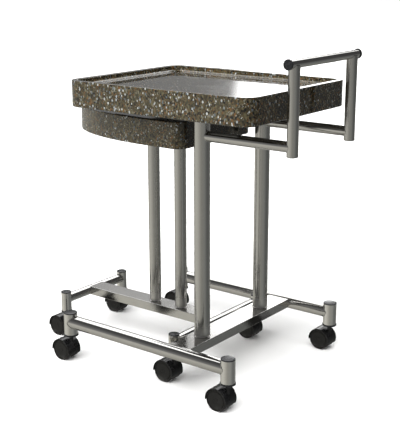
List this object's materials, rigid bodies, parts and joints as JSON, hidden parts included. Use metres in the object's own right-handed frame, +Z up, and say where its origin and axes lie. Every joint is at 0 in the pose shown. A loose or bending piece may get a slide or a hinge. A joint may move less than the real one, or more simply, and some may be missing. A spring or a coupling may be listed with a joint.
{
  "type": "instrument cart",
  "caption": "Nested pair of clinic instrument carts with speckled rimmed trays on round steel columns, a push handle and twin-wheel swivel casters.",
  "frame": {"origin": "on the floor, under the middle of the nested pair's overall length and width", "axes": "+X toward the push handle, +Y to the far side as seen with the handle at the right, +Z up"},
  "size_m": [0.8638, 0.5552, 0.8844],
  "materials": {
    "speckled_stone": "polished speckled solid surface",
    "brushed_tube": "satin brushed stainless steel",
    "bright_steel": "bright zinc",
    "plate_steel": "grey coat",
    "caster_black": "moulded black nylon",
    "wheel_tread": "black moulded wheel",
    "plug_black": "moulded dark plugs"
  },
  "bodies": {
    "outer_cart": {"outer_tray": "speckled_stone", "outer_tray_plates": "plate_steel", "outer_tray_screws": "bright_steel", "outer_cross_bar": "brushed_tube", "handle_bar": "brushed_tube", "handle_plugs": "plug_black", "outer_rail_near": "brushed_tube", "outer_column_near": "brushed_tube", "handle_support_near": "brushed_tube", "handle_post_near": "brushed_tube", "outer_rail_far": "brushed_tube", "outer_column_far": "brushed_tube", "handle_support_far": "brushed_tube", "handle_post_far": "brushed_tube", "outer_corner_sleeves": "brushed_tube", "outer_sleeve_caps": "plug_black", "outer_stem_sockets": "plug_black"},
    "inner_cart": {"inner_tray": "speckled_stone", "inner_tray_plate": "plate_steel", "inner_tray_screws": "bright_steel", "inner_spine_bar": "brushed_tube", "inner_front_tube": "brushed_tube", "inner_rear_tube": "brushed_tube", "inner_column_front": "brushed_tube", "inner_column_rear": "brushed_tube", "inner_corner_sleeves": "brushed_tube", "inner_sleeve_caps": "plug_black", "inner_stem_sockets": "plug_black"},
    "caster_outer_front_near": {"caster_outer_front_near_hood": "caster_black", "caster_outer_front_near_axle": "bright_steel"},
    "caster_outer_front_near_wheel_near": {"caster_outer_front_near_wheel_near": "wheel_tread"},
    "caster_outer_front_near_wheel_far": {"caster_outer_front_near_wheel_far": "wheel_tread"},
    "caster_outer_front_far": {"caster_outer_front_far_hood": "caster_black", "caster_outer_front_far_axle": "bright_steel"},
    "caster_outer_front_far_wheel_near": {"caster_outer_front_far_wheel_near": "wheel_tread"},
    "caster_outer_front_far_wheel_far": {"caster_outer_front_far_wheel_far": "wheel_tread"},
    "caster_outer_rear_near": {"caster_outer_rear_near_hood": "caster_black", "caster_outer_rear_near_axle": "bright_steel"},
    "caster_outer_rear_near_wheel_near": {"caster_outer_rear_near_wheel_near": "wheel_tread"},
    "caster_outer_rear_near_wheel_far": {"caster_outer_rear_near_wheel_far": "wheel_tread"},
    "caster_outer_rear_far": {"caster_outer_rear_far_hood": "caster_black", "caster_outer_rear_far_axle": "bright_steel"},
    "caster_outer_rear_far_wheel_near": {"caster_outer_rear_far_wheel_near": "wheel_tread"},
    "caster_outer_rear_far_wheel_far": {"caster_outer_rear_far_wheel_far": "wheel_tread"},
    "caster_inner_front_near": {"caster_inner_front_near_hood": "caster_black", "caster_inner_front_near_axle": "bright_steel"},
    "caster_inner_front_near_wheel_near": {"caster_inner_front_near_wheel_near": "wheel_tread"},
    "caster_inner_front_near_wheel_far": {"caster_inner_front_near_wheel_far": "wheel_tread"},
    "caster_inner_front_far": {"caster_inner_front_far_hood": "caster_black", "caster_inner_front_far_axle": "bright_steel"},
    "caster_inner_front_far_wheel_near": {"caster_inner_front_far_wheel_near": "wheel_tread"},
    "caster_inner_front_far_wheel_far": {"caster_inner_front_far_wheel_far": "wheel_tread"},
    "caster_inner_rear_near": {"caster_inner_rear_near_hood": "caster_black", "caster_inner_rear_near_axle": "bright_steel"},
    "caster_inner_rear_near_wheel_near": {"caster_inner_rear_near_wheel_near": "wheel_tread"},
    "caster_inner_rear_near_wheel_far": {"caster_inner_rear_near_wheel_far": "wheel_tread"},
    "caster_inner_rear_far": {"caster_inner_rear_far_hood": "caster_black", "caster_inner_rear_far_axle": "bright_steel"},
    "caster_inner_rear_far_wheel_near": {"caster_inner_rear_far_wheel_near": "wheel_tread"},
    "caster_inner_rear_far_wheel_far": {"caster_inner_rear_far_wheel_far": "wheel_tread"}
  },
  "joints": [
    {"name": "nest_roll_out", "type": "slide", "parent": "outer_cart", "child": "inner_cart", "axis": [-1, 0, 0], "range_m": [0, 0.6]},
    {"name": "caster_outer_front_near_swivel", "type": "hinge", "parent": "outer_cart", "child": "caster_outer_front_near", "pos_m": [-0.2324, -0.2544, 0.0746], "axis": [0, 0, 1], "continuous": true},
    {"name": "caster_outer_front_near_wheel_near_spin", "type": "hinge", "parent": "caster_outer_front_near", "child": "caster_outer_front_near_wheel_near", "pos_m": [-0.2544, -0.2544, 0.03], "axis": [0, 1, 0], "continuous": true},
    {"name": "caster_outer_front_near_wheel_far_spin", "type": "hinge", "parent": "caster_outer_front_near", "child": "caster_outer_front_near_wheel_far", "pos_m": [-0.2544, -0.2544, 0.03], "axis": [0, 1, 0], "continuous": true},
    {"name": "caster_outer_front_far_swivel", "type": "hinge", "parent": "outer_cart", "child": "caster_outer_front_far", "pos_m": [-0.2324, 0.2544, 0.0746], "axis": [0, 0, 1], "continuous": true},
    {"name": "caster_outer_front_far_wheel_near_spin", "type": "hinge", "parent": "caster_outer_front_far", "child": "caster_outer_front_far_wheel_near", "pos_m": [-0.2544, 0.2544, 0.03], "axis": [0, 1, 0], "continuous": true},
    {"name": "caster_outer_front_far_wheel_far_spin", "type": "hinge", "parent": "caster_outer_front_far", "child": "caster_outer_front_far_wheel_far", "pos_m": [-0.2544, 0.2544, 0.03], "axis": [0, 1, 0], "continuous": true},
    {"name": "caster_outer_rear_near_swivel", "type": "hinge", "parent": "outer_cart", "child": "caster_outer_rear_near", "pos_m": [0.3146, -0.2544, 0.0746], "axis": [0, 0, 1], "continuous": true},
    {"name": "caster_outer_rear_near_wheel_near_spin", "type": "hinge", "parent": "caster_outer_rear_near", "child": "caster_outer_rear_near_wheel_near", "pos_m": [0.2926, -0.2544, 0.03], "axis": [0, 1, 0], "continuous": true},
    {"name": "caster_outer_rear_near_wheel_far_spin", "type": "hinge", "parent": "caster_outer_rear_near", "child": "caster_outer_rear_near_wheel_far", "pos_m": [0.2926, -0.2544, 0.03], "axis": [0, 1, 0], "continuous": true},
    {"name": "caster_outer_rear_far_swivel", "type": "hinge", "parent": "outer_cart", "child": "caster_outer_rear_far", "pos_m": [0.3146, 0.2544, 0.0746], "axis": [0, 0, 1], "continuous": true},
    {"name": "caster_outer_rear_far_wheel_near_spin", "type": "hinge", "parent": "caster_outer_rear_far", "child": "caster_outer_rear_far_wheel_near", "pos_m": [0.2926, 0.2544, 0.03], "axis": [0, 1, 0], "continuous": true},
    {"name": "caster_outer_rear_far_wheel_far_spin", "type": "hinge", "parent": "caster_outer_rear_far", "child": "caster_outer_rear_far_wheel_far", "pos_m": [0.2926, 0.2544, 0.03], "axis": [0, 1, 0], "continuous": true},
    {"name": "caster_inner_front_near_swivel", "type": "hinge", "parent": "inner_cart", "child": "caster_inner_front_near", "pos_m": [-0.3769, -0.1255, 0.0746], "axis": [0, 0, 1], "continuous": true},
    {"name": "caster_inner_front_near_wheel_near_spin", "type": "hinge", "parent": "caster_inner_front_near", "child": "caster_inner_front_near_wheel_near", "pos_m": [-0.3989, -0.1255, 0.03], "axis": [0, 1, 0], "continuous": true},
    {"name": "caster_inner_front_near_wheel_far_spin", "type": "hinge", "parent": "caster_inner_front_near", "child": "caster_inner_front_near_wheel_far", "pos_m": [-0.3989, -0.1255, 0.03], "axis": [0, 1, 0], "continuous": true},
    {"name": "caster_inner_front_far_swivel", "type": "hinge", "parent": "inner_cart", "child": "caster_inner_front_far", "pos_m": [-0.3769, 0.1255, 0.0746], "axis": [0, 0, 1], "continuous": true},
    {"name": "caster_inner_front_far_wheel_near_spin", "type": "hinge", "parent": "caster_inner_front_far", "child": "caster_inner_front_far_wheel_near", "pos_m": [-0.3989, 0.1255, 0.03], "axis": [0, 1, 0], "continuous": true},
    {"name": "caster_inner_front_far_wheel_far_spin", "type": "hinge", "parent": "caster_inner_front_far", "child": "caster_inner_front_far_wheel_far", "pos_m": [-0.3989, 0.1255, 0.03], "axis": [0, 1, 0], "continuous": true},
    {"name": "caster_inner_rear_near_swivel", "type": "hinge", "parent": "inner_cart", "child": "caster_inner_rear_near", "pos_m": [0.0951, -0.1956, 0.0746], "axis": [0, 0, 1], "continuous": true},
    {"name": "caster_inner_rear_near_wheel_near_spin", "type": "hinge", "parent": "caster_inner_rear_near", "child": "caster_inner_rear_near_wheel_near", "pos_m": [0.0731, -0.1956, 0.03], "axis": [0, 1, 0], "continuous": true},
    {"name": "caster_inner_rear_near_wheel_far_spin", "type": "hinge", "parent": "caster_inner_rear_near", "child": "caster_inner_rear_near_wheel_far", "pos_m": [0.0731, -0.1956, 0.03], "axis": [0, 1, 0], "continuous": true},
    {"name": "caster_inner_rear_far_swivel", "type": "hinge", "parent": "inner_cart", "child": "caster_inner_rear_far", "pos_m": [0.0951, 0.1956, 0.0746], "axis": [0, 0, 1], "continuous": true},
    {"name": "caster_inner_rear_far_wheel_near_spin", "type": "hinge", "parent": "caster_inner_rear_far", "child": "caster_inner_rear_far_wheel_near", "pos_m": [0.0731, 0.1956, 0.03], "axis": [0, 1, 0], "continuous": true},
    {"name": "caster_inner_rear_far_wheel_far_spin", "type": "hinge", "parent": "caster_inner_rear_far", "child": "caster_inner_rear_far_wheel_far", "pos_m": [0.0731, 0.1956, 0.03], "axis": [0, 1, 0], "continuous": true}
  ]
}
